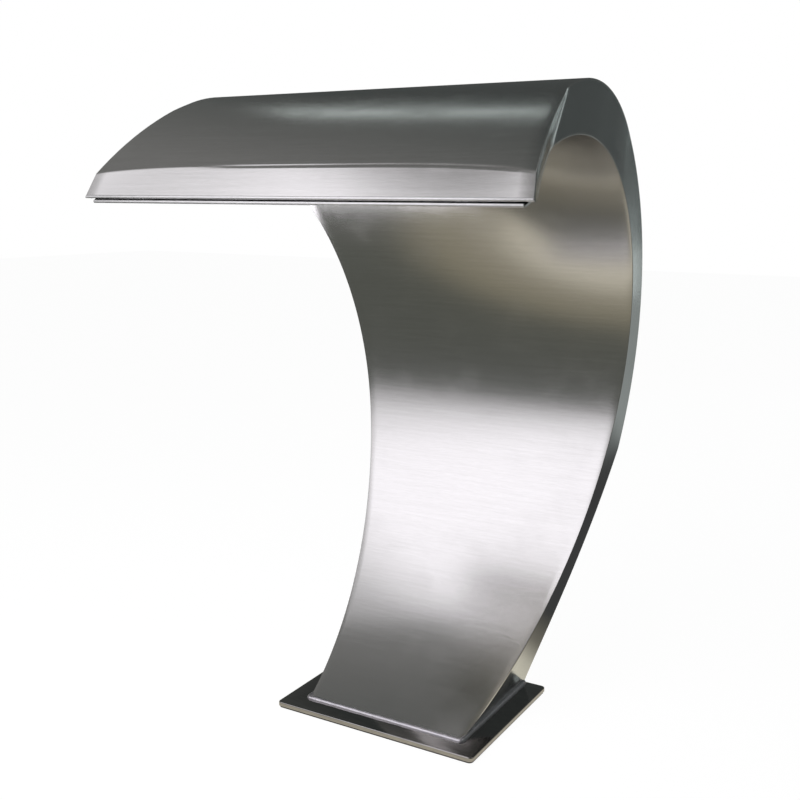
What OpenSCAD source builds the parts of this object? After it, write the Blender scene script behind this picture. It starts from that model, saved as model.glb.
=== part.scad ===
// Pool waterfall: a hollow sheet-steel duct on a deck plate. Water enters through the
// socket under the foot, climbs inside the duct, and leaves as a sheet at the lip.
// Millimetres. X runs along the lip, Y to the back, Z up. The origin is the centre of
// the underside, on the deck.

/* [Outlet lip] */
// Width of the lip
lip_w = 500; // [460:5:540]
// Clear height of the outlet slot
slot_h = 3; // [3:0.5:6]
// How far the lower sheet stands in from each end of the lip
lip_setback = 9; // [4:1:12]

/* [Duct] */
// Thickness of the formed sheets
sheet_t = 2; // [1.5:0.5:3]
// Width of the duct on the deck plate
foot_w = 204.5; // [195:0.5:215]
// Depth of the duct on the deck plate
foot_d = 172; // [168:1:176]
// Width of the duct where it starts to flare to the lip
crown_w = 447; // [430:1:455]
// Share of the duct's length below the flare
crown_at = 0.9; // [0.86:0.01:0.93]

/* [Deck plate] */
// Width of the deck plate
plate_w = 260; // [250:1:280]
// Depth of the deck plate
plate_d = 204; // [204:1:230]
// Thickness of the deck plate
plate_t = 5; // [4:1:8]
// Deck left in front of the duct
front_margin = 28; // [20:1:28]
// Thickness of the rubber gasket
gasket_t = 2; // [2:0.5:3]

/* [Connections] */
// Tapping radius of the two-inch inlet thread
inlet_r = 28.3; // [28.3]
// Length of the inlet socket
inlet_len = 38; // [32:1:38]
// Tapping radius of the M10 anchor threads
anchor_r = 4.25; // [4.25]
// Anchor spacing across the plate
anchor_dx = 160; // [150:1:160]
// Anchor spacing from front to back
anchor_dy = 100; // [96:1:100]

/* [Hidden] */
$fn = 64;

// Each sheet's side view is a chain of arcs: [radius, direction where the arc ends].
// A direction is in degrees, 0 to the back and 90 straight up.
front_start = 22.2;
front_arcs = [[415.2, 78.1], [308.1, 140.9], [229.8, 205.7], [555.1, 213.1], [555.1, 214.7]];
rear_start = 58.3;
rear_body_arcs = [[896.4, 78.1], [379.6, 140.9], [210.5, 205.7]];
arc_steps = [14, 14, 16, 5, 3];
// The upper sheet is creased near the lip and ends in a flat strip
strip_len = 26.8;
strip_dir = 242.2;
strip_steps = arc_steps[4];

function dir(a) = [cos(a), sin(a)];
function inward(a) = [sin(a), -cos(a)];                  // from the front sheet into the duct
function arc_end(p, a, arc) = p + arc[0] * (inward(arc[1]) - inward(a));
function arc_start(p, a, arcs, k) = k == 0 ? [p, a] :
    let (s = arc_start(p, a, arcs, k - 1)) [arc_end(s[0], s[1], arcs[k - 1]), arcs[k - 1][1]];
function chain(p, a, arcs) = concat(
    [for (k = [0 : len(arcs) - 1], i = [0 : arc_steps[k] - 1])
        let (s = arc_start(p, a, arcs, k), b = s[1] + (arcs[k][1] - s[1]) * i / arc_steps[k])
            [arc_end(s[0], s[1], [arcs[k][0], b]), b]],
    [arc_start(p, a, arcs, len(arcs))]);
// The one arc that leaves point p in direction a and passes through q
function arc_to(p, a, q) = let (d = q - p, c = (atan2(d[1], d[0]) + 360) % 360)
    [norm(d) / (2 * sin(c - a)), 2 * c - a];

deck_z = gasket_t + plate_t;
foot_y = -plate_d / 2 + front_margin;
front = chain([foot_y, deck_z], front_start, front_arcs);
last = len(front) - 1;
lip_gap = slot_h + 2 * sheet_t;
rear_foot = [foot_y + foot_d, deck_z];
rear_lip = front[last][0] + lip_gap * inward(front[last][1]);
rear_crown = arc_start(rear_foot, rear_start, rear_body_arcs, len(rear_body_arcs));
crease = rear_lip - strip_len * dir(strip_dir);
rear = concat(
    chain(rear_foot, rear_start, concat(rear_body_arcs, [arc_to(rear_crown[0], rear_crown[1], crease)])),
    [for (i = [1 : strip_steps]) [crease + strip_len * i / strip_steps * dir(strip_dir), strip_dir]]);

// Faces of the sheets that look into the duct; at the foot they are cut level with the plate
function inner_face(s, k, side) = s[k][0] +
    (k == 0 ? [side * sheet_t / sin(s[k][1]), 0] : side * sheet_t * inward(s[k][1]));
front_in = [for (k = [0 : last]) inner_face(front, k, 1)];
rear_in = [for (k = [0 : last]) inner_face(rear, k, -1)];

// Width of the duct: a quarter sine up to the crown, then the flare to the lip
swell = 1.1;
flare = 1.1;
function run(k) = k == 0 ? 0 : run(k - 1) + norm(front[k][0] - front[k - 1][0]);
duct_run = run(last);
function width_at(t) = foot_w
    + (crown_w - foot_w) * pow(sin(90 * min(t / crown_at, 1)), swell)
    + (lip_w - crown_w) * pow(max(t - crown_at, 0) / (1 - crown_at), flare);
half_w = [for (k = [0 : last]) width_at(run(k) / duct_run) / 2];
// The lower sheet's ends are cut back beside the strip
half_front = [for (k = [0 : last]) half_w[k] - lip_setback * max(k - last + strip_steps, 0) / strip_steps];

cheek_end = last - 1;
vane_from = 16;
vane_to = last - 6;
vane_at = 0.36;
spacer_from = last - 2;
spacer_w = 6;
spacer_at = [-0.72, -0.24, 0.24, 0.72];

diffuser_z = 150;
hole_r = 4;
hole_pitch = 16;

inlet_y = foot_y + 118;
socket_r = 37.5;
anchor_y = foot_y + 90;
boss_r = 10;
boss_rise = 8;
earth_r = 2.5;
earth_boss_r = 7;
earth_xy = [0, foot_y + 40];
thread_depth = 13;
weld_gap = 0.05;

function at(x, p) = [x, p[0], p[1]];

// A closed solid through a row of four-cornered sections
module loft(sections) {
    n = len(sections);
    corner = [for (s = sections) each s];
    walls = [for (i = [0 : n - 2], j = [0 : 3]) let (m = (j + 1) % 4)
        each [[4 * i + j, 4 * i + 4 + j, 4 * i + 4 + m], [4 * i + j, 4 * i + 4 + m, 4 * i + m]]];
    e = 4 * (n - 1);
    ends = [[0, 1, 2], [0, 2, 3], [e + 2, e + 1, e], [e + 3, e + 2, e]];
    polyhedron(corner, concat(walls, ends));
}

module formed_sheet(outer, inner, half) {
    loft([for (k = [0 : last])
        [at(-half[k], outer[k]), at(half[k], outer[k]), at(half[k], inner[k]), at(-half[k], inner[k])]]);
}

module front_sheet() {
    color("silver") formed_sheet([for (s = front) s[0]], front_in, half_front);
}

module rear_sheet() {
    color("gainsboro") mirror([1, 0, 0]) formed_sheet([for (s = rear) s[0]], rear_in, half_w);
}

// An upright wall between the two sheets, from x_in(k) to x_out(k)
module web(from, to, x_in, x_out) {
    loft([for (k = [from : to])
        [at(x_in[k], front_in[k]), at(x_out[k], front_in[k]),
         at(x_out[k], rear_in[k]), at(x_in[k], rear_in[k])]]);
}

module right_cheek() {
    color("lightsteelblue") web(0, cheek_end, [for (h = half_w) h - sheet_t], half_w);
}

module left_cheek() {
    color("lightsteelblue") mirror([1, 0, 0]) web(0, cheek_end, [for (h = half_w) h - sheet_t], half_w);
}

module right_vane() {
    mid = vane_at * half_w;
    color("darkgray")
        web(vane_from, vane_to, [for (m = mid) m - sheet_t / 2], [for (m = mid) m + sheet_t / 2]);
}

module left_vane() {
    mirror([1, 0, 0]) right_vane();
}

module slot_spacers() {
    color("dimgray") for (f = spacer_at)
        web(spacer_from, last - 1,
            [for (h = half_w) f * h - spacer_w / 2], [for (h = half_w) f * h + spacer_w / 2]);
}

// Perforated plate across the duct that evens out the flow
module diffuser_plate() {
    z = deck_z + diffuser_z;
    rising = [0 : 20];
    clear = 0.3;
    y_front = lookup(z + sheet_t, [for (k = rising) [front_in[k][1], front_in[k][0]]]) + clear;
    y_rear = lookup(z, [for (k = rising) [rear_in[k][1], rear_in[k][0]]]) - clear;
    x_front = lookup(z, [for (k = rising) [front_in[k][1], half_w[k]]]) - sheet_t - clear;
    x_rear = lookup(z, [for (k = rising) [rear_in[k][1], half_w[k]]]) - sheet_t - clear;
    rows = [-1 : 1];
    columns = [-8 : 8];
    color("slategray") difference() {
        translate([0, 0, z]) linear_extrude(sheet_t)
            polygon([[-x_front, y_front], [x_front, y_front], [x_rear, y_rear], [-x_rear, y_rear]]);
        for (i = columns, j = rows)
            translate([i * hole_pitch, (y_front + y_rear) / 2 + j * hole_pitch, z - 1])
                cylinder(r = hole_r, h = sheet_t + 2, $fn = 24);
    }
}

// Bent bridge over the inlet that turns the jet to both sides
module inlet_deflector() {
    leg_x = 48;
    leg_z = 42;
    ridge_z = 60;
    strip_w = 30;
    t = 3;
    color("slategray") translate([0, inlet_y + strip_w, deck_z]) rotate([90, 0, 0]) linear_extrude(strip_w)
        polygon([[-leg_x, 0], [-leg_x, leg_z], [0, ridge_z], [leg_x, leg_z], [leg_x, 0],
                 [leg_x - t, 0], [leg_x - t, leg_z - t], [0, ridge_z - t], [t - leg_x, leg_z - t], [t - leg_x, 0]]);
}

module rounded_plate(w, d, r) {
    square([w - 2 * r, d], center = true);
    square([w, d - 2 * r], center = true);
    for (x = [r - w / 2, w / 2 - r], y = [r - d / 2, d / 2 - r]) translate([x, y]) circle(r);
}

anchors = [for (y = [-0.5, 0.5], x = [-0.5, 0.5]) [x * anchor_dx, anchor_y + y * anchor_dy]];

// Openings for the socket and the bosses
module foot_holes(gap) {
    translate([0, inlet_y]) circle(socket_r + gap);
    for (p = anchors) translate(p) circle(boss_r + gap);
    translate(earth_xy) circle(earth_boss_r + gap);
}

module base_plate() {
    color("lightgray") translate([0, 0, gasket_t]) linear_extrude(plate_t) difference() {
        rounded_plate(plate_w, plate_d, 5);
        foot_holes(weld_gap);
    }
}

module deck_gasket() {
    inset = 1;
    color("black") linear_extrude(gasket_t) difference() {
        rounded_plate(plate_w - 2 * inset, plate_d - 2 * inset, 5);
        foot_holes(0.5);
    }
}

module inlet_socket() {
    color("darkgray") translate([0, inlet_y, 0]) difference() {
        cylinder(r = socket_r, h = inlet_len);
        translate([0, 0, -1]) cylinder(r = inlet_r, h = inlet_len + 2);
    }
}

module blind_boss(p, r, bore) {
    color("darkgray") translate([p[0], p[1], 0]) difference() {
        cylinder(r = r, h = deck_z + boss_rise);
        translate([0, 0, -1]) cylinder(r = bore, h = thread_depth + 1);
    }
}

// Fillet weld round the duct: a bead along each side of the foot
module foot_weld() {
    leg = 6;
    side_from = 16;
    half = foot_w / 2;
    toe = 5;
    rear_leg = 3;
    side_top = 0.5;
    color("whitesmoke") {
        translate([-half, foot_y, deck_z]) rotate([90, 0, 90]) linear_extrude(foot_w)
            polygon([[-leg, 0], [0, 0], toe * dir(front_start)]);
        translate([-half, foot_y + foot_d, deck_z]) rotate([90, 0, 90]) linear_extrude(foot_w)
            polygon([[0, 0], [rear_leg, 0], toe * dir(rear_start)]);
        for (side = [0, 1]) mirror([side, 0, 0])
            translate([half, foot_y + foot_d, deck_z]) rotate([90, 0, 0]) linear_extrude(foot_d - side_from)
                polygon([[0, 0], [leg, 0], [side_top, leg]]);
    }
}

front_sheet();
rear_sheet();
left_cheek();
right_cheek();
left_vane();
right_vane();
slot_spacers();
diffuser_plate();
inlet_deflector();
base_plate();
foot_weld();
inlet_socket();
blind_boss(anchors[0], boss_r, anchor_r);  // front_left_boss
blind_boss(anchors[1], boss_r, anchor_r);  // front_right_boss
blind_boss(anchors[2], boss_r, anchor_r);  // rear_left_boss
blind_boss(anchors[3], boss_r, anchor_r);  // rear_right_boss
blind_boss(earth_xy, earth_boss_r, earth_r);  // earth_boss
deck_gasket();
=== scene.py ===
import math
from collections import Counter
import bpy
import bmesh
from mathutils import Matrix, Vector


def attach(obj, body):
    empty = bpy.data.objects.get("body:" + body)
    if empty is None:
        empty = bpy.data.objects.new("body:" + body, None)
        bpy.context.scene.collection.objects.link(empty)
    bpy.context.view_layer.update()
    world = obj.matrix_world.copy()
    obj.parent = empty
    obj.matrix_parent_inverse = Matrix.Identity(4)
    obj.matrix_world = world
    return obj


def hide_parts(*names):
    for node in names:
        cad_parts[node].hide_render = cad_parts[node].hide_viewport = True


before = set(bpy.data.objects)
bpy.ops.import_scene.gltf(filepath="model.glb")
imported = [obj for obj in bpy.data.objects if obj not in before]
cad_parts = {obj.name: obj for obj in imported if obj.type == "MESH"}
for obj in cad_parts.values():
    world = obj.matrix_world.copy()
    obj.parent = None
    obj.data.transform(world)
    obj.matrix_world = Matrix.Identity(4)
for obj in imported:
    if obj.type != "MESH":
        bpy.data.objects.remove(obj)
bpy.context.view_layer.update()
mm = 0.001

duct = {
    "lipWidth": 500,
    "sheet": 2,
    "slot": 3,
    "footWidth": 204.5,
    "footDepth": 172,
    "crownWidth": 447,
    "crownAt": 0.9,
    "swell": 1.1,
    "flare": 1.1,
    "deckZ": 7,
    "footY": -74,
    "frontStart": 22.2,
    "frontArcs": [(415.2, 78.1), (308.1, 140.9), (229.8, 205.7), (555.1, 213.1), (555.1, 214.7)],
    "rearStart": 58.3,
    "rearArcs": [(896.4, 78.1), (379.6, 140.9), (210.5, 205.7)],
    "stripLength": 26.8,
    "stripDirection": 242.2,
    "rowsPerArc": [28, 28, 32, 10, 3],
}


def heading(angle):
    return Vector((0, math.cos(math.radians(angle)), math.sin(math.radians(angle))))


def inward(angle):  # from the front sheet into the duct
    return Vector((0, math.sin(math.radians(angle)), -math.cos(math.radians(angle))))


def rollArcs(point, angle, arcs, rows):  # the rows of a rolled sheet, each with its direction
    line = []
    for (radius, lastAngle), count in zip(arcs, rows):
        for i in range(count):
            turned = angle + (lastAngle - angle) * i / count
            line.append((point + radius * (inward(turned) - inward(angle)), turned))
        point = point + radius * (inward(lastAngle) - inward(angle))
        angle = lastAngle
    return line + [(point, angle)]


def arcTo(point, angle, target):  # the one arc from point in that direction through target
    chord = target - point
    chordAngle = math.degrees(math.atan2(chord.z, chord.y)) % 360
    radius = chord.length / (2 * math.sin(math.radians(chordAngle - angle)))
    return (radius, 2 * chordAngle - angle)


rows = duct["rowsPerArc"]
frontLine = rollArcs(Vector((0, duct["footY"], duct["deckZ"])), duct["frontStart"], duct["frontArcs"], rows)
lipGap = duct["slot"] + 2 * duct["sheet"]
rearLip = frontLine[-1][0] + lipGap * inward(frontLine[-1][1])
crease = rearLip - duct["stripLength"] * heading(duct["stripDirection"])
rearFoot = Vector((0, duct["footY"] + duct["footDepth"], duct["deckZ"]))
rearCrown, crownAngle = rollArcs(rearFoot, duct["rearStart"], duct["rearArcs"], rows)[-1]
lastArc = arcTo(rearCrown, crownAngle, crease)
rearLine = rollArcs(rearFoot, duct["rearStart"], duct["rearArcs"] + [lastArc], rows)
for i in range(1, rows[4] + 1):
    rearLine.append((crease.lerp(rearLip, i / rows[4]), duct["stripDirection"]))
lastRow = len(frontLine) - 1
creaseRow = lastRow - rows[4]

travel = [0]
for k in range(1, lastRow + 1):
    travel.append(travel[-1] + (frontLine[k][0] - frontLine[k - 1][0]).length)


def widthAt(share):
    rise = math.sin(math.radians(90 * min(share / duct["crownAt"], 1))) ** duct["swell"]
    flare = (max(share - duct["crownAt"], 0) / (1 - duct["crownAt"])) ** duct["flare"]
    return (duct["footWidth"] + (duct["crownWidth"] - duct["footWidth"]) * rise
            + (duct["lipWidth"] - duct["crownWidth"]) * flare)


halfWidth = [widthAt(s / travel[-1]) / 2 for s in travel]


def innerFace(line, k, side):
    point, angle = line[k]
    if k == 0:  # cut level with the deck plate
        return point + Vector((0, side * duct["sheet"] / math.sin(math.radians(angle)), 0))
    return point + side * duct["sheet"] * inward(angle)


def freshStart():
    if bpy.context.object and bpy.context.object.mode == "EDIT":
        bpy.ops.object.mode_set(mode="OBJECT")
    bpy.ops.object.select_all(action="DESELECT")


def editOn(selectMode):
    bpy.ops.object.mode_set(mode="EDIT")
    bpy.ops.mesh.select_mode(type=selectMode)
    return bmesh.from_edit_mesh(bpy.context.object.data)


def pickVerts(test):
    mesh = bmesh.from_edit_mesh(bpy.context.object.data)
    bpy.ops.mesh.select_all(action="DESELECT")
    for v in mesh.verts:
        v.select = test(v)
    mesh.select_flush(True)
    bmesh.update_edit_mesh(bpy.context.object.data)


def pickEdges(test):
    mesh = bmesh.from_edit_mesh(bpy.context.object.data)
    bpy.ops.mesh.select_all(action="DESELECT")
    for e in mesh.edges:
        if test(e):
            e.select_set(True)
    bmesh.update_edit_mesh(bpy.context.object.data)


def settle(name, smoothAngle):  # leaves edit mode, puts the place in the mesh and smooths the faces
    if bpy.context.object.mode == "EDIT":
        bpy.ops.object.mode_set(mode="OBJECT")
    piece = bpy.context.object
    piece.name = name
    piece.data.name = name
    bakePlace()
    bpy.ops.object.shade_smooth_by_angle(angle=math.radians(smoothAngle))
    return piece


def applyModifiers(piece):
    for modifier in list(piece.modifiers):
        bpy.ops.object.modifier_apply(modifier=modifier.name)


def takeUp(piece):  # makes this piece the only selected one and the active one
    freshStart()
    piece.select_set(True)
    bpy.context.view_layer.objects.active = piece


def turnFaces():
    bpy.ops.object.mode_set(mode="EDIT")
    bpy.ops.mesh.select_all(action="SELECT")
    bpy.ops.mesh.flip_normals()
    bpy.ops.object.mode_set(mode="OBJECT")


def alignFaces():
    bpy.ops.mesh.select_all(action="SELECT")
    bpy.ops.mesh.normals_make_consistent(inside=False)


def bakePlace():
    bpy.ops.object.transform_apply(location=True, rotation=True, scale=True)


def carryRow(move, turn, grow, middle):  # one more row of a piece, from the selected one
    bpy.ops.mesh.extrude_region_move(TRANSFORM_OT_translate={"value": move})
    if turn:
        bpy.ops.transform.rotate(value=-turn, orient_axis="X", center_override=middle)
    bpy.ops.transform.resize(value=grow, center_override=middle)


sheets = {
    "columns": 32,
    "edgeRound": 0.45,
    "lipRound": 1.5,
    "creaseBow": 9.5,
    "creaseRadius": 0.38,
    "creaseHold": 3.5,
    "creaseRound": 1.1,
    "groove": 0.62,
    "grooveTurn": 230,
    "grooveStart": -120,
    "grooveStartFade": 60,
    "grooveEnd": 235,
    "grooveEndFade": 20,
    "creaseWithin": 0.6,
    "grooveWithin": 0.4,
    "acrossFrom": 4,
    "slantTo": 8,
    "smooth": 50,
    "setback": 9,
}


def rollSheet(name, line, widths, side):
    freshStart()
    start = line[0][0] * mm
    bpy.ops.mesh.primitive_grid_add(x_subdivisions=sheets["columns"], y_subdivisions=1,
                                    size=1, location=start)
    bpy.ops.object.transform_apply(location=True, rotation=False, scale=False)
    editOn("VERT")
    pickVerts(lambda v: v.co.y > start.y)
    bpy.ops.mesh.delete(type="VERT")
    pickVerts(lambda v: True)
    bpy.ops.transform.resize(value=(2 * widths[0] * mm, 1, 1), center_override=start)
    bpy.ops.transform.translate(value=(0, 0.5, 0))
    for k in range(1, len(line)):
        move = (line[k][0] - line[k - 1][0]) * mm
        carryRow(move, 0, (widths[k] / widths[k - 1], 1, 1), line[k][0] * mm)
    if side < 0:
        bowCrease()
        sharpenCrease()
    bpy.ops.mesh.select_all(action="SELECT")
    bpy.ops.mesh.remove_doubles(threshold=0.00001)
    alignFaces()
    bpy.ops.object.mode_set(mode="OBJECT")
    turnOutward(side)
    return thickenSheet(name)


def turnOutward(side):  # the foot row's face looks forward on the front sheet, backward on the rear one
    piece = bpy.context.object
    lowest = min(piece.data.polygons, key=lambda f: f.center.z)
    if lowest.normal.y * side > 0:
        turnFaces()


def bowCrease():  # the crease rises towards the middle of the lip
    mesh = bmesh.from_edit_mesh(bpy.context.object.data)
    firstRow = creaseRow - rows[3]
    for v in mesh.verts:
        k = nearestRow(rearLine, v.co)
        if k <= firstRow or k >= lastRow:
            continue
        share = min(abs(v.co.x) / (halfWidth[k] * mm), 1)
        bow = sheets["creaseBow"] * mm * (1 - share ** 4)
        if k <= creaseRow:
            bow *= (k - firstRow) / (creaseRow - firstRow)
            v.co -= bow * heading(rearLine[k][1] - math.degrees(bow / sheets["creaseRadius"] / 2))
        else:
            lipPoint = Vector((v.co.x, rearLip.y * mm, rearLip.z * mm))
            v.co = creasePoint(v.co.x).lerp(lipPoint, (k - creaseRow) / (lastRow - creaseRow))
    bmesh.update_edit_mesh(bpy.context.object.data)


def sharpenCrease():  # holding rows each side of the bend, and a shallow press line along it
    for offset in (sheets["creaseHold"], sheets["creaseRound"]):
        pickEdges(onCrease)
        bpy.ops.mesh.bevel(offset=offset * mm, segments=2, profile=1, affect="EDGES")
    for v in bmesh.from_edit_mesh(bpy.context.object.data).verts:
        if (v.co - creasePoint(v.co.x)).length < sheets["grooveWithin"] * mm:
            x = v.co.x / mm
            fadeIn = min(max((x - sheets["grooveStart"]) / sheets["grooveStartFade"], 0), 1)
            fadeOut = min(max((sheets["grooveEnd"] - x) / sheets["grooveEndFade"], 0), 1)
            v.co -= fadeIn * fadeOut * sheets["groove"] * mm * inward(sheets["grooveTurn"])


def onCrease(edge):
    a, b = edge.verts
    if abs(a.co.x - b.co.x) < sheets["acrossFrom"] * mm:
        return False
    return all((v.co - creasePoint(v.co.x)).length < sheets["creaseWithin"] * mm for v in (a, b))


def creasePoint(x):  # where the bowed bend passes at this distance from the middle
    bow = sheets["creaseBow"] * mm * (1 - min(abs(x) / (halfWidth[creaseRow] * mm), 1) ** 4)
    angle = rearLine[creaseRow][1] - math.degrees(bow / sheets["creaseRadius"] / 2)
    point = rearLine[creaseRow][0] * mm - bow * heading(angle)
    return Vector((x, point.y, point.z))


def nearestRow(line, place):
    def gap(k):
        point = line[k][0] * mm
        return (point.y - place.y) ** 2 + (point.z - place.z) ** 2
    return min(range(len(line)), key=gap)


def thickenSheet(name):
    piece = bpy.context.object
    uses = Counter(key for face in piece.data.polygons for key in face.edge_keys)
    sides = set()
    for e in piece.data.edges:
        a, b = (piece.data.vertices[i].co for i in e.vertices)
        if uses[e.key] == 1 and abs(a.y - b.y) + abs(a.z - b.z) > abs(a.x - b.x):
            sides.update(e.vertices)
    wall = piece.modifiers.new("wall", "SOLIDIFY")
    wall.thickness = duct["sheet"] * mm
    wall.offset = -1
    wall.use_even_offset = True
    applyModifiers(piece)
    editOn("EDGE")
    slant = sheets["slantTo"] * mm
    pickEdges(lambda e: (all(v.index in sides for v in e.verts)
                         and abs(e.verts[0].co.x - e.verts[1].co.x) < slant))
    # the rounded side edges take the second slot, the lighter edge steel that paints a highlight along them
    bpy.ops.mesh.bevel(offset=sheets["edgeRound"] * mm, segments=3, affect="EDGES",
                       clamp_overlap=True, material=1)
    return settle(name, sheets["smooth"])


def finishLip(piece, line):
    takeUp(piece)
    editOn("EDGE")
    end = line[-1][0] * mm
    pickEdges(lambda e: all(abs(v.co.y - end.y) + abs(v.co.z - end.z) < 0.0001 for v in e.verts))
    # the rounded lip edge takes the second slot, the lighter edge steel that paints a highlight along it
    bpy.ops.mesh.bevel(offset=sheets["lipRound"] * mm, segments=4, affect="EDGES",
                       clamp_overlap=True, material=1)
    bpy.ops.object.mode_set(mode="OBJECT")
    bpy.ops.object.shade_smooth_by_angle(angle=math.radians(sheets["smooth"]))


halfFront = list(halfWidth)
for k in range(creaseRow, lastRow + 1):
    halfFront[k] -= sheets["setback"] * (k - creaseRow) / rows[4]
frontSheet = rollSheet("formedFront", frontLine, halfFront, 1)
rearSheet = rollSheet("formedRear", rearLine, halfWidth, -1)
finishLip(rearSheet, rearLine)
finishLip(frontSheet, frontLine)
print("sheets rolled")


lips = {
    "radius": 1.5,
    "sides": 20,
    "raise": 1.0,
    "upperBack": 1.3,
    "lowerBack": 0.3,
    "endGap": 0.3,
    "endRound": 0.8,
    "smooth": 40,
}


def rollLip(name, line, side, back, half):
    depth = duct["sheet"] / 2 + (lips["raise"] if side > 0 else 0)
    end = (half - lips["endGap"]) * mm
    place = line[-1][0] + side * depth * inward(line[-1][1]) - back * heading(line[-1][1])
    freshStart()
    bpy.ops.mesh.primitive_cylinder_add(vertices=lips["sides"], radius=lips["radius"] * mm, depth=2 * end,
                                        location=place * mm, rotation=(0, math.pi / 2, 0))
    bakePlace()
    editOn("EDGE")
    pickEdges(lambda e: all(abs(abs(v.co.x) - end) < 0.00001 for v in e.verts))
    bpy.ops.mesh.bevel(offset=lips["endRound"] * mm, segments=3, affect="EDGES")
    return settle(name, lips["smooth"])


upperLip = rollLip("upperLip", rearLine, -1, lips["upperBack"], halfWidth[-1])
lowerLip = rollLip("lowerLip", frontLine, 1, lips["lowerBack"], halfFront[-1])
print("lips rolled")


cheeks = {"across": 6, "endRow": lastRow - 1, "smooth": 30}


def fillCheek(name, mirrored):
    freshStart()
    first, last = innerFace(frontLine, 0, 1) * mm, innerFace(rearLine, 0, -1) * mm
    bpy.ops.mesh.primitive_grid_add(x_subdivisions=1, y_subdivisions=cheeks["across"],
                                    size=1, location=(0, 0, 0))
    editOn("VERT")
    pickVerts(lambda v: v.co.x > 0)
    bpy.ops.mesh.delete(type="VERT")
    pickVerts(lambda v: True)
    middle = (first + last) / 2
    bpy.ops.transform.resize(value=(1, (last - first).length, 1), center_override=(0, 0, 0))
    bpy.ops.transform.translate(value=(0.5 + halfWidth[0] * mm, middle.y, middle.z))
    for k in range(1, cheeks["endRow"] + 1):
        nextFirst, nextLast = innerFace(frontLine, k, 1) * mm, innerFace(rearLine, k, -1) * mm
        nextMiddle = (nextFirst + nextLast) / 2
        old, new = last - first, nextLast - nextFirst
        turn = math.atan2(new.z, new.y) - math.atan2(old.z, old.y)
        turn = (turn + math.pi) % (2 * math.pi) - math.pi
        move = nextMiddle - middle + Vector(((halfWidth[k] - halfWidth[k - 1]) * mm, 0, 0))
        grow = new.length / old.length
        pivot = nextMiddle + Vector((halfWidth[k] * mm, 0, 0))
        carryRow(move, turn, (1, grow, grow), pivot)
        first, last, middle = nextFirst, nextLast, nextMiddle
    bpy.ops.mesh.select_all(action="SELECT")
    if mirrored:
        bpy.ops.transform.resize(value=(-1, 1, 1), center_override=(0, 0, 0))
    alignFaces()
    bpy.ops.object.mode_set(mode="OBJECT")
    piece = bpy.context.object
    side = -1 if mirrored else 1
    if piece.data.polygons[0].normal.x * side < 0:
        turnFaces()
    wall = piece.modifiers.new("wall", "SOLIDIFY")
    wall.thickness = duct["sheet"] * mm
    wall.offset = -1
    applyModifiers(piece)
    return settle(name, cheeks["smooth"])


rightCheek = fillCheek("formedRightCheek", False)
leftCheek = fillCheek("formedLeftCheek", True)
print("cheeks filled in")


plate = {
    "width": 260,
    "depth": 204,
    "thick": 5,
    "bottom": 2,
    "corner": 5,
    "edgeRound": 1.2,
    "inlet": (0, 44, 37.55),
    "anchors": [(-80, -34), (80, -34), (-80, 66), (80, 66)],
    "anchorHole": 10.05,
    "earth": (0, -34, 7.05),
    "holeSides": 64,
    "cutTall": 30,
    "cutMiddle": 5,
    "smooth": 35,
}


def makePlate():
    freshStart()
    middle = (0, 0, (plate["bottom"] + plate["thick"] / 2) * mm)
    bpy.ops.mesh.primitive_cube_add(size=1, location=middle)
    body = bpy.context.object
    body.scale = (plate["width"] * mm, plate["depth"] * mm, plate["thick"] * mm)
    bakePlace()
    editOn("EDGE")
    pickEdges(lambda e: abs(e.verts[0].co.z - e.verts[1].co.z) > 0.001)
    bpy.ops.mesh.bevel(offset=plate["corner"] * mm, segments=8, affect="EDGES")
    top = (plate["bottom"] + plate["thick"]) * mm
    pickEdges(lambda e: all(abs(v.co.z - top) < 0.0001 for v in e.verts))
    # the rounded top edge takes the second slot, the cream steel that paints a highlight along it
    bpy.ops.mesh.bevel(offset=plate["edgeRound"] * mm, segments=3, affect="EDGES", material=1)
    bpy.ops.object.mode_set(mode="OBJECT")
    holes = [plate["inlet"], plate["earth"]] + [(x, y, plate["anchorHole"]) for x, y in plate["anchors"]]
    cutters = []
    for x, y, r in holes:
        bpy.ops.mesh.primitive_cylinder_add(vertices=plate["holeSides"], radius=r * mm,
                                            depth=plate["cutTall"] * mm,
                                            location=(x * mm, y * mm, plate["cutMiddle"] * mm))
        cutters.append(bpy.context.object)
    for c in cutters:
        c.select_set(True)
    bpy.context.view_layer.objects.active = cutters[0]
    bpy.ops.object.join()
    cutter = bpy.context.object
    takeUp(body)
    cut = body.modifiers.new("cut", "BOOLEAN")
    cut.object = cutter
    cut.solver = "EXACT"
    applyModifiers(body)
    bpy.data.objects.remove(cutter)
    return settle("polishedPlate", plate["smooth"])


deckPlate = makePlate()
print("plate cut")


weld = {
    "radius": 3.4,
    "sides": 14,
    "pitch": 1.6,
    "ripple": 0.05,
    "out": 0.9,
    "outBack": -0.6,
    "up": 0.1,
    "cornerRadius": 3,
    "cornerSteps": 5,
    "smooth": 70,
}


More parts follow.
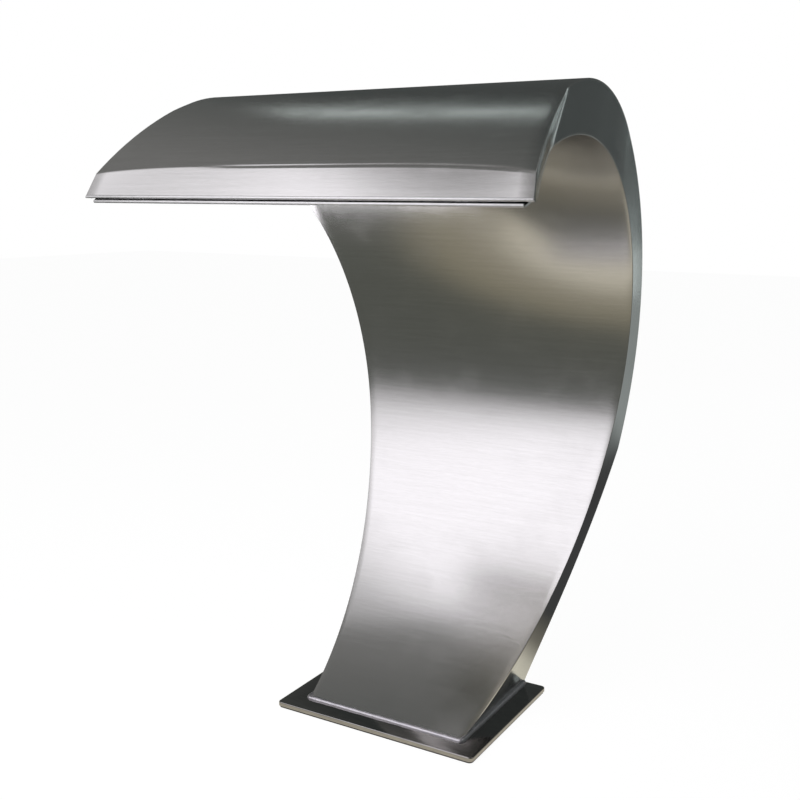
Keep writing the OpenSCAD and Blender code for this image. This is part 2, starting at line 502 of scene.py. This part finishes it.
def makeWeld():
    halfX = duct["footWidth"] / 2 + weld["out"]
    frontY = duct["footY"] - weld["out"]
    backY = duct["footY"] + duct["footDepth"] + weld["outBack"]
    z = duct["deckZ"] + weld["up"]
    c = weld["cornerRadius"]
    corners = [(halfX - c, frontY + c, -90), (halfX - c, backY - c, 0),
               (c - halfX, backY - c, 90), (c - halfX, frontY + c, 180)]
    path = []
    for n, (x, y, angle) in enumerate(corners):
        for step in range(weld["cornerSteps"] + 1):
            a = math.radians(angle + 90 * step / weld["cornerSteps"])
            path.append(Vector((x + c * math.cos(a), y + c * math.sin(a), z)))
        nextCorner = corners[(n + 1) % 4]
        a = math.radians(angle + 90)
        start = path[-1]
        end = Vector((nextCorner[0] + c * math.cos(a), nextCorner[1] + c * math.sin(a), z))
        count = int((end - start).length / weld["pitch"])
        path += [start.lerp(end, i / count) for i in range(1, count)]
    freshStart()
    tangent = (path[1] - path[-1]).normalized()
    startTurn = math.atan2(tangent.y, tangent.x) + math.pi / 2
    bpy.ops.mesh.primitive_circle_add(vertices=weld["sides"], radius=weld["radius"] * mm,
                                      location=path[0] * mm, rotation=(math.pi / 2, 0, startTurn))
    bakePlace()
    editOn("VERT")
    bpy.ops.mesh.select_all(action="SELECT")
    size = 1
    for i in range(1, len(path)):
        before = path[i] - path[i - 1]
        bpy.ops.mesh.extrude_region_move(TRANSFORM_OT_translate={"value": before * mm})
        tangentNow = (path[(i + 1) % len(path)] - path[i - 1]).normalized()
        turn = math.atan2(tangentNow.y, tangentNow.x) - math.atan2(tangent.y, tangent.x)
        turn = (turn + math.pi) % (2 * math.pi) - math.pi
        tangent = tangentNow
        swing = 0.5 * math.sin(i * 2.1) + math.sin(i * 0.23 + 1) + 0.8 * math.sin(i * 0.57)
        wave = 1 + weld["ripple"] * swing
        bpy.ops.transform.rotate(value=-turn, orient_axis="Z", center_override=path[i] * mm)
        bpy.ops.transform.resize(value=(wave / size,) * 3, center_override=path[i] * mm)
        size = wave
    pickEdges(lambda e: e.is_boundary)
    bpy.ops.mesh.bridge_edge_loops()
    alignFaces()
    return settle("footBead", weld["smooth"])


footBead = makeWeld()
print("weld laid")


def newGroup(name, inputs, outputs):
    group = bpy.data.node_groups.new(name, "ShaderNodeTree")
    for label, kind, value in inputs:
        socket = group.interface.new_socket(name=label, in_out="INPUT", socket_type=kind)
        if value is not None:
            socket.default_value = value
    for label, kind in outputs:
        group.interface.new_socket(name=label, in_out="OUTPUT", socket_type=kind)
    return group, group.nodes.new("NodeGroupInput"), group.nodes.new("NodeGroupOutput")


def mathNode(tree, kind, a, b):
    node = tree.nodes.new("ShaderNodeMath")
    node.operation = kind
    for socket, value in zip(node.inputs, (a, b)):
        if isinstance(value, (int, float)):
            socket.default_value = value
        else:
            tree.links.new(value, socket)
    return node.outputs[0]


def noiseNode(tree, vector, scale, detail, rough):
    node = tree.nodes.new("ShaderNodeTexNoise")
    node.inputs["Detail"].default_value = detail
    node.inputs["Roughness"].default_value = rough
    tree.links.new(vector, node.inputs["Vector"])
    if isinstance(scale, (int, float)):
        node.inputs["Scale"].default_value = scale
    else:
        tree.links.new(scale, node.inputs["Scale"])
    return node.outputs["Fac"]


def rampNode(tree, stops):
    node = tree.nodes.new("ShaderNodeValToRGB")
    for n, (place, tone) in enumerate(stops):
        stop = node.color_ramp.elements[n] if n < 2 else node.color_ramp.elements.new(place)
        stop.position = place
        stop.color = (*tone, 1)
    return node


def bumpNode(tree, height, depth, under=None):
    node = tree.nodes.new("ShaderNodeBump")
    node.inputs["Strength"].default_value = 1
    node.inputs["Distance"].default_value = depth
    tree.links.new(height, node.inputs["Height"])
    if under:
        tree.links.new(under, node.inputs["Normal"])
    return node.outputs["Normal"]


grain = {
    "fineDetail": 3,
    "fineRough": 0.6,
    "broadScale": 0.12,
    "broadDetail": 2,
    "broadRough": 0.5,
    "fineShare": 0.7,
    "broadShare": 0.3,
    "middle": 0.5,
}


def makeGrainGroup():  # fine lines of a brushed finish, drawn out along one axis
    group, take, give = newGroup("brushGrain",
        [("Vector", "NodeSocketVector", None), ("Fineness", "NodeSocketFloat", 900.0),
         ("Rough", "NodeSocketFloat", 0.28), ("Rough spread", "NodeSocketFloat", 0.08)],
        [("Roughness", "NodeSocketFloat"), ("Height", "NodeSocketFloat"), ("Tone", "NodeSocketFloat")])
    fine = noiseNode(group, take.outputs["Vector"], take.outputs["Fineness"],
                     grain["fineDetail"], grain["fineRough"])
    coarser = mathNode(group, "MULTIPLY", take.outputs["Fineness"], grain["broadScale"])
    broad = noiseNode(group, take.outputs["Vector"], coarser, grain["broadDetail"], grain["broadRough"])
    finePart = mathNode(group, "MULTIPLY", fine, grain["fineShare"])
    broadPart = mathNode(group, "MULTIPLY", broad, grain["broadShare"])
    both = mathNode(group, "ADD", finePart, broadPart)
    centred = mathNode(group, "SUBTRACT", both, grain["middle"])
    offset = mathNode(group, "MULTIPLY", centred, take.outputs["Rough spread"])
    group.links.new(mathNode(group, "ADD", take.outputs["Rough"], offset), give.inputs["Roughness"])
    group.links.new(both, give.inputs["Height"])
    group.links.new(both, give.inputs["Tone"])
    return group


waves = {"detail": 1, "rough": 0.4}


def makeWaveGroup():  # the slow hand-rolled unevenness of a sheet
    group, take, give = newGroup("sheetWaves",
        [("Vector", "NodeSocketVector", None), ("Size", "NodeSocketFloat", 6.0)],
        [("Height", "NodeSocketFloat")])
    slow = noiseNode(group, take.outputs["Vector"], take.outputs["Size"], waves["detail"], waves["rough"])
    group.links.new(slow, give.inputs["Height"])
    return group


marks = {"detail": 4, "rough": 0.55, "from": 0.5, "to": 0.72}


def makeMarksGroup():  # handling marks and dried drops that dull the polish here and there
    group, take, give = newGroup("handlingMarks",
        [("Vector", "NodeSocketVector", None), ("Size", "NodeSocketFloat", 14.0),
         ("Amount", "NodeSocketFloat", 0.1)],
        [("Dulling", "NodeSocketFloat")])
    smudge = noiseNode(group, take.outputs["Vector"], take.outputs["Size"], marks["detail"], marks["rough"])
    ramp = group.nodes.new("ShaderNodeMapRange")
    ramp.inputs["From Min"].default_value = marks["from"]
    ramp.inputs["From Max"].default_value = marks["to"]
    group.links.new(smudge, ramp.inputs["Value"])
    dulling = mathNode(group, "MULTIPLY", ramp.outputs["Result"], take.outputs["Amount"])
    group.links.new(dulling, give.inputs["Dulling"])
    return group


brushGrain = makeGrainGroup()
sheetWaves = makeWaveGroup()
handlingMarks = makeMarksGroup()


def placeGroup(tree, group, **values):
    node = tree.nodes.new("ShaderNodeGroup")
    node.node_tree = group
    for label, value in values.items():
        node.inputs[label.replace("_", " ")].default_value = value
    return node


def steel(name, look):  # a steel finish: tone, grain, marks and unevenness from the groups
    material = bpy.data.materials.new(name)
    material.use_nodes = True
    tree = material.node_tree
    shader = tree.nodes["Principled BSDF"]
    shader.inputs["Metallic"].default_value = 1.0
    shader.inputs["IOR"].default_value = 1.5
    place = tree.nodes.new("ShaderNodeTexCoord")
    stretch = tree.nodes.new("ShaderNodeMapping")
    stretch.inputs["Scale"].default_value = look["stretch"]
    tree.links.new(place.outputs["Object"], stretch.inputs["Vector"])
    brushed = placeGroup(tree, brushGrain, Fineness=look["fineness"], Rough=look["rough"],
                         Rough_spread=look["roughSpread"])
    uneven = placeGroup(tree, sheetWaves, Size=look["waveSize"])
    handled = placeGroup(tree, handlingMarks, Size=look["markSize"], Amount=look["marks"])
    tree.links.new(stretch.outputs["Vector"], brushed.inputs["Vector"])
    tree.links.new(place.outputs["Object"], uneven.inputs["Vector"])
    tree.links.new(place.outputs["Object"], handled.inputs["Vector"])
    tone = rampNode(tree, [(0.3, look["dark"]), (0.7, look["light"])])
    tree.links.new(brushed.outputs["Tone"], tone.inputs["Fac"])
    tree.links.new(tone.outputs["Color"], shader.inputs["Base Color"])
    roughness = mathNode(tree, "ADD", brushed.outputs["Roughness"], handled.outputs["Dulling"])
    tree.links.new(roughness, shader.inputs["Roughness"])
    slow = bumpNode(tree, uneven.outputs["Height"], look["waveDepth"])
    lines = bumpNode(tree, brushed.outputs["Height"], look["grainDepth"], slow)
    tree.links.new(lines, shader.inputs["Normal"])
    return material


finishes = {
    "brushedSheet": {
        "dark": (0.6, 0.595, 0.585), "light": (0.7, 0.695, 0.69),
        "rough": 0.2, "roughSpread": 0.05, "fineness": 3000, "stretch": (0.03, 1, 1), "grainDepth": 0.000005,
        "waveSize": 3, "waveDepth": 0.00015, "markSize": 16, "marks": 0.05,
    },
    "brushedCheek": {
        "dark": (0.52, 0.54, 0.54), "light": (0.6, 0.62, 0.62),
        "rough": 0.16, "roughSpread": 0.08, "fineness": 3000, "stretch": (1, 1, 0.04), "grainDepth": 0.00001,
        "waveSize": 6, "waveDepth": 0.0003, "markSize": 18, "marks": 0.06,
    },
    "polishedPlate": {
        "dark": (0.3, 0.29, 0.29), "light": (0.42, 0.41, 0.4),
        "rough": 0.07, "roughSpread": 0.03, "fineness": 300, "stretch": (0.2, 1, 1), "grainDepth": 0.000003,
        "waveSize": 10, "waveDepth": 0.0002, "markSize": 22, "marks": 0.06,
    },
    # lighter than the sheet steel: a polished edge finish, with painted highlight in its lighter colour along
    # the rounded edges and lip beads
    "polishedEdgeHighlight": {
        "dark": (0.78, 0.78, 0.78), "light": (0.86, 0.86, 0.86),
        "rough": 0.16, "roughSpread": 0.05, "fineness": 400, "stretch": (1, 1, 1), "grainDepth": 0.00001,
        "waveSize": 30, "waveDepth": 0.0002, "markSize": 30, "marks": 0.04,
    },
    # cream, far lighter than the plate steel: painted highlight along the plate's rounded top edge
    "plateEdgeHighlight": {
        "dark": (0.93, 0.9, 0.83), "light": (0.98, 0.96, 0.9),
        "rough": 0.08, "roughSpread": 0.04, "fineness": 400, "stretch": (0.1, 1, 1), "grainDepth": 0.000005,
        "waveSize": 30, "waveDepth": 0.0001, "markSize": 30, "marks": 0.04,
    },
    # a ground weld finish whose light lilac-grey tone is partly painted highlight along the bead
    "groundWeldHighlight": {
        "dark": (0.62, 0.6, 0.64), "light": (0.8, 0.78, 0.82),
        "rough": 0.42, "roughSpread": 0.1, "fineness": 900, "stretch": (1, 1, 1), "grainDepth": 0.00001,
        "waveSize": 60, "waveDepth": 0.0002, "markSize": 60, "marks": 0.1,
    },
    "innerSteel": {
        "dark": (0.46, 0.46, 0.45), "light": (0.58, 0.58, 0.57),
        "rough": 0.42, "roughSpread": 0.14, "fineness": 260, "stretch": (1, 0.3, 1), "grainDepth": 0.00003,
        "waveSize": 12, "waveDepth": 0.0003, "markSize": 20, "marks": 0.1,
    },
}
made = {name: steel(name, look) for name, look in finishes.items()}


rubber = {
    "dark": (0.012, 0.012, 0.013),
    "light": (0.035, 0.034, 0.033),
    "speck": 900,
    "speckDetail": 4,
    "speckRough": 0.6,
    "depth": 0.0001,
    "rough": 0.6,
    "roughSpread": 0.2,
}


def makeRubber():
    material = bpy.data.materials.new("gasketRubber")
    material.use_nodes = True
    tree = material.node_tree
    shader = tree.nodes["Principled BSDF"]
    place = tree.nodes.new("ShaderNodeTexCoord")
    speck = noiseNode(tree, place.outputs["Object"], rubber["speck"],
                      rubber["speckDetail"], rubber["speckRough"])
    tone = rampNode(tree, [(0, rubber["dark"]), (1, rubber["light"])])
    tree.links.new(speck, tone.inputs["Fac"])
    tree.links.new(tone.outputs["Color"], shader.inputs["Base Color"])
    tree.links.new(bumpNode(tree, speck, rubber["depth"]), shader.inputs["Normal"])
    spread = mathNode(tree, "MULTIPLY", speck, rubber["roughSpread"])
    roughness = mathNode(tree, "ADD", spread, rubber["rough"])
    tree.links.new(roughness, shader.inputs["Roughness"])
    return material


gasketRubber = makeRubber()


def dress(piece, *materials):
    while len(piece.data.materials) < len(materials):
        piece.data.materials.append(None)
    for i, material in enumerate(materials):
        piece.data.materials[i] = material


# the second slot on each sheet is its rounded edges, in lighter steel as painted highlight
dress(frontSheet, made["brushedSheet"], made["polishedEdgeHighlight"])
dress(rearSheet, made["brushedSheet"], made["polishedEdgeHighlight"])
dress(leftCheek, made["brushedCheek"])
dress(rightCheek, made["brushedCheek"])
# the plate's rounded top edge is in cream steel, a painted highlight
dress(deckPlate, made["polishedPlate"], made["plateEdgeHighlight"])
# the bead's light lilac-grey steel is partly a painted highlight
dress(footBead, made["groundWeldHighlight"])
# the lip beads take the lighter edge steel: painted highlight along the lips
dress(upperLip, made["polishedEdgeHighlight"])
dress(lowerLip, made["polishedEdgeHighlight"])

for name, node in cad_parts.items():
    for i in range(max(len(node.data.materials), 1)):
        if not node.data.materials:
            node.data.materials.append(None)
        node.data.materials[i] = gasketRubber if name == "deck_gasket" else made["innerSteel"]

standIns = [
    (frontSheet, "front_sheet", "brushed_sheet"),
    (rearSheet, "rear_sheet", "brushed_sheet"),
    (leftCheek, "left_cheek", "brushed_cheek"),
    (rightCheek, "right_cheek", "brushed_cheek"),
    (deckPlate, "base_plate", "polished_plate"),
    (footBead, "foot_weld", "ground_weld"),
]
for piece, node, slot in standIns:
    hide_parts(node)
    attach(piece, "root")
for piece in (upperLip, lowerLip):
    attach(piece, "root")
print("finishes laid on")


studio = {
    "floorSize": 16,
    "floorTone": (0.93, 0.93, 0.93, 1),
    "floorGlow": 0.86,
    "glowStrength": 1.12,
    "backdrop": (1, 1, 1, 1),
    "nearFloor": [(0.0, (0.11, 0.115, 0.105)), (0.77, (0.11, 0.115, 0.10)), (0.82, (0.29, 0.265, 0.19)),
                  (0.88, (0.36, 0.33, 0.26)), (0.905, (0.78, 0.73, 0.60)), (1.0, (0.78, 0.73, 0.60))],
    "backFloor": [(0.0, (0.05, 0.05, 0.05)), (0.45, (0.06, 0.06, 0.06)), (0.62, (0.36, 0.38, 0.37)),
                  (1.0, (0.3, 0.32, 0.31))],
    "floorReach": 2,
    "backFrom": 0.1,
    "backTo": 0.3,
    "room": [(0.0, (0.085, 0.092, 0.09)), (0.5, (0.06, 0.066, 0.064)), (0.60, (0.12, 0.125, 0.12)),
             (0.72, (0.20, 0.20, 0.195)), (1.0, (0.16, 0.16, 0.155))],
    "brightWall": (-0.8, -0.6, 0),
}


def showApart(tree, toCamera, toSteel, out):  # the camera sees one shader and the reflections the other
    path = tree.nodes.new("ShaderNodeLightPath")
    pick = tree.nodes.new("ShaderNodeMixShader")
    tree.links.new(path.outputs["Is Camera Ray"], pick.inputs["Fac"])
    tree.links.new(toSteel, pick.inputs[1])
    tree.links.new(toCamera, pick.inputs[2])
    tree.links.new(pick.outputs[0], out.inputs["Surface"])


def reflectedFloor(tree):  # what the steel sees of it: pale at the foot, dim further off, its own tone behind
    place = tree.nodes.new("ShaderNodeTexCoord")
    reach = tree.nodes.new("ShaderNodeMapping")
    share = 1 / studio["floorReach"]
    reach.inputs["Scale"].default_value = (share, share, share)
    rings = tree.nodes.new("ShaderNodeTexGradient")
    rings.gradient_type = "SPHERICAL"
    tree.links.new(place.outputs["Object"], reach.inputs["Vector"])
    tree.links.new(reach.outputs["Vector"], rings.inputs["Vector"])
    near = rampNode(tree, studio["nearFloor"])
    tree.links.new(rings.outputs["Fac"], near.inputs["Fac"])
    parts = tree.nodes.new("ShaderNodeSeparateXYZ")
    tree.links.new(place.outputs["Object"], parts.inputs[0])
    back = rampNode(tree, studio["backFloor"])
    tree.links.new(mathNode(tree, "MULTIPLY", parts.outputs["Y"], share), back.inputs["Fac"])
    behind = tree.nodes.new("ShaderNodeMapRange")
    behind.inputs["From Min"].default_value = studio["backFrom"]
    behind.inputs["From Max"].default_value = studio["backTo"]
    tree.links.new(parts.outputs["Y"], behind.inputs["Value"])
    both = tree.nodes.new("ShaderNodeMix")
    both.data_type = "RGBA"
    tree.links.new(behind.outputs["Result"], both.inputs["Factor"])
    tree.links.new(near.outputs["Color"], both.inputs[6])
    tree.links.new(back.outputs["Color"], both.inputs[7])
    return both.outputs[2]


def makeFloor():
    freshStart()
    bpy.ops.mesh.primitive_plane_add(size=studio["floorSize"], location=(0, 0, 0))
    floor = bpy.context.object
    floor.name = "paleFloor"
    material = bpy.data.materials.new("paleFloor")
    material.use_nodes = True
    tree = material.node_tree
    tree.nodes.clear()
    out = tree.nodes.new("ShaderNodeOutputMaterial")
    matt = tree.nodes.new("ShaderNodeBsdfDiffuse")
    matt.inputs["Color"].default_value = studio["floorTone"]
    glow = tree.nodes.new("ShaderNodeEmission")
    glow.inputs["Color"].default_value = studio["backdrop"]
    glow.inputs["Strength"].default_value = studio["glowStrength"]
    seen = tree.nodes.new("ShaderNodeMixShader")
    seen.inputs["Fac"].default_value = studio["floorGlow"]
    tree.links.new(matt.outputs[0], seen.inputs[1])
    tree.links.new(glow.outputs[0], seen.inputs[2])
    dim = tree.nodes.new("ShaderNodeEmission")
    tree.links.new(reflectedFloor(tree), dim.inputs["Color"])
    showApart(tree, seen.outputs[0], dim.outputs[0], out)
    floor.data.materials.append(material)


def makeRoom():  # a dim room, lighter to the left and front, and a pale backdrop for the camera
    world = bpy.data.worlds.new("room")
    bpy.context.scene.world = world
    world.use_nodes = True
    tree = world.node_tree
    tree.nodes.clear()
    out = tree.nodes.new("ShaderNodeOutputWorld")
    way = tree.nodes.new("ShaderNodeTexCoord")
    lean = tree.nodes.new("ShaderNodeVectorMath")
    lean.operation = "DOT_PRODUCT"
    lean.inputs[1].default_value = studio["brightWall"]
    tree.links.new(way.outputs["Generated"], lean.inputs[0])
    tone = rampNode(tree, studio["room"])
    share = mathNode(tree, "ADD", mathNode(tree, "MULTIPLY", lean.outputs["Value"], 0.5), 0.5)
    tree.links.new(share, tone.inputs["Fac"])
    dim = tree.nodes.new("ShaderNodeBackground")
    tree.links.new(tone.outputs["Color"], dim.inputs["Color"])
    pale = tree.nodes.new("ShaderNodeBackground")
    pale.inputs["Color"].default_value = studio["backdrop"]
    showApart(tree, pale.outputs[0], dim.outputs[0], out)


lamps = {  # place and aim in metres, size, brightness, tone and lean in degrees
    "softBox": {
        "place": (-0.54, -0.9, 1.0), "aim": (0.04, 0.0, 0.78),
        "width": 1.8, "tall": 1.44, "glow": 0.45, "tone": (1, 0.98, 1.02), "lean": 0,
    },
    "softCore": {
        "place": (-0.45, -0.95, 1.0), "aim": (0.12, 0.0, 0.78),
        "width": 1.3, "tall": 1.26, "glow": 0.46, "tone": (1, 0.97, 1.03), "lean": -7,
    },
    "softHeart": {
        "place": (-0.4, -0.98, 1.04), "aim": (0.15, 0.0, 0.82),
        "width": 1.1, "tall": 1.06, "glow": 0.42, "tone": (1, 0.97, 1.04), "lean": -9,
    },
    "floorCard": {
        "place": (-0.54, 0.37, 0.02), "aim": (-0.54, 0.37, 1),
        "width": 0.5, "tall": 0.44, "glow": 3.0, "tone": (1, 0.97, 1.03), "lean": 0,
    },
    "crownStrip": {
        "place": (-1.37, 1.37, 3.0), "aim": (0, -0.15, 0.68),
        "width": 1.3, "tall": 0.11, "glow": 1.5, "tone": (0.9, 1, 0.98), "lean": -51,
    },
    "seamStrip": {
        "place": (1.6, 0.6, 2.1), "aim": (0.25, -0.15, 0.65),
        "width": 0.9, "tall": 1.0, "glow": 1.1, "tone": (1, 1, 1), "lean": 0,
    },
    "backGlow": {
        "place": (0.34, 2.6, 0.68), "aim": (0.22, -0.1, 0.64),
        "width": 0.22, "tall": 1.0, "glow": 0.8, "tone": (0.9, 1, 0.98), "lean": 0,
    },
}


def facing(way, lean):  # a lamp's or camera's rotation when it looks along way, rolled by lean
    return (way.to_track_quat("-Z", "Y").to_matrix() @ Matrix.Rotation(math.radians(lean), 3, "Z")).to_euler()


def hangLamps():
    for name, lamp in lamps.items():
        light = bpy.data.lights.new(name, "AREA")
        light.shape = "RECTANGLE"
        light.size = lamp["width"]
        light.size_y = lamp["tall"]
        light.color = lamp["tone"]
        light.energy = lamp["glow"] * lamp["width"] * lamp["tall"] * math.pi
        holder = bpy.data.objects.new(name, light)
        holder.location = lamp["place"]
        way = Vector(lamp["aim"]) - Vector(lamp["place"])
        holder.rotation_euler = facing(way, lamp["lean"])
        holder.visible_camera = False
        bpy.context.scene.collection.objects.link(holder)


view = {
    "place": (597.05, -1057.99, 600.45),
    "bearing": -30.346,
    "pitch": -10.695,
    "roll": 0.391,
    "lens": 48.14,
    "sensor": 36,
}


def setCamera():
    bpy.ops.object.camera_add(location=Vector(view["place"]) * mm)
    camera = bpy.context.object
    camera.data.sensor_width = view["sensor"]
    camera.data.lens = view["lens"]
    b, p = math.radians(view["bearing"]), math.radians(view["pitch"])
    ahead = Vector((math.sin(b) * math.cos(p), math.cos(b) * math.cos(p), math.sin(p)))
    camera.rotation_euler = facing(ahead, view["roll"])
    bpy.context.scene.camera = camera


makeFloor()
makeRoom()
hangLamps()
setCamera()
bpy.context.scene.view_settings.view_transform = "Standard"
print("studio ready")
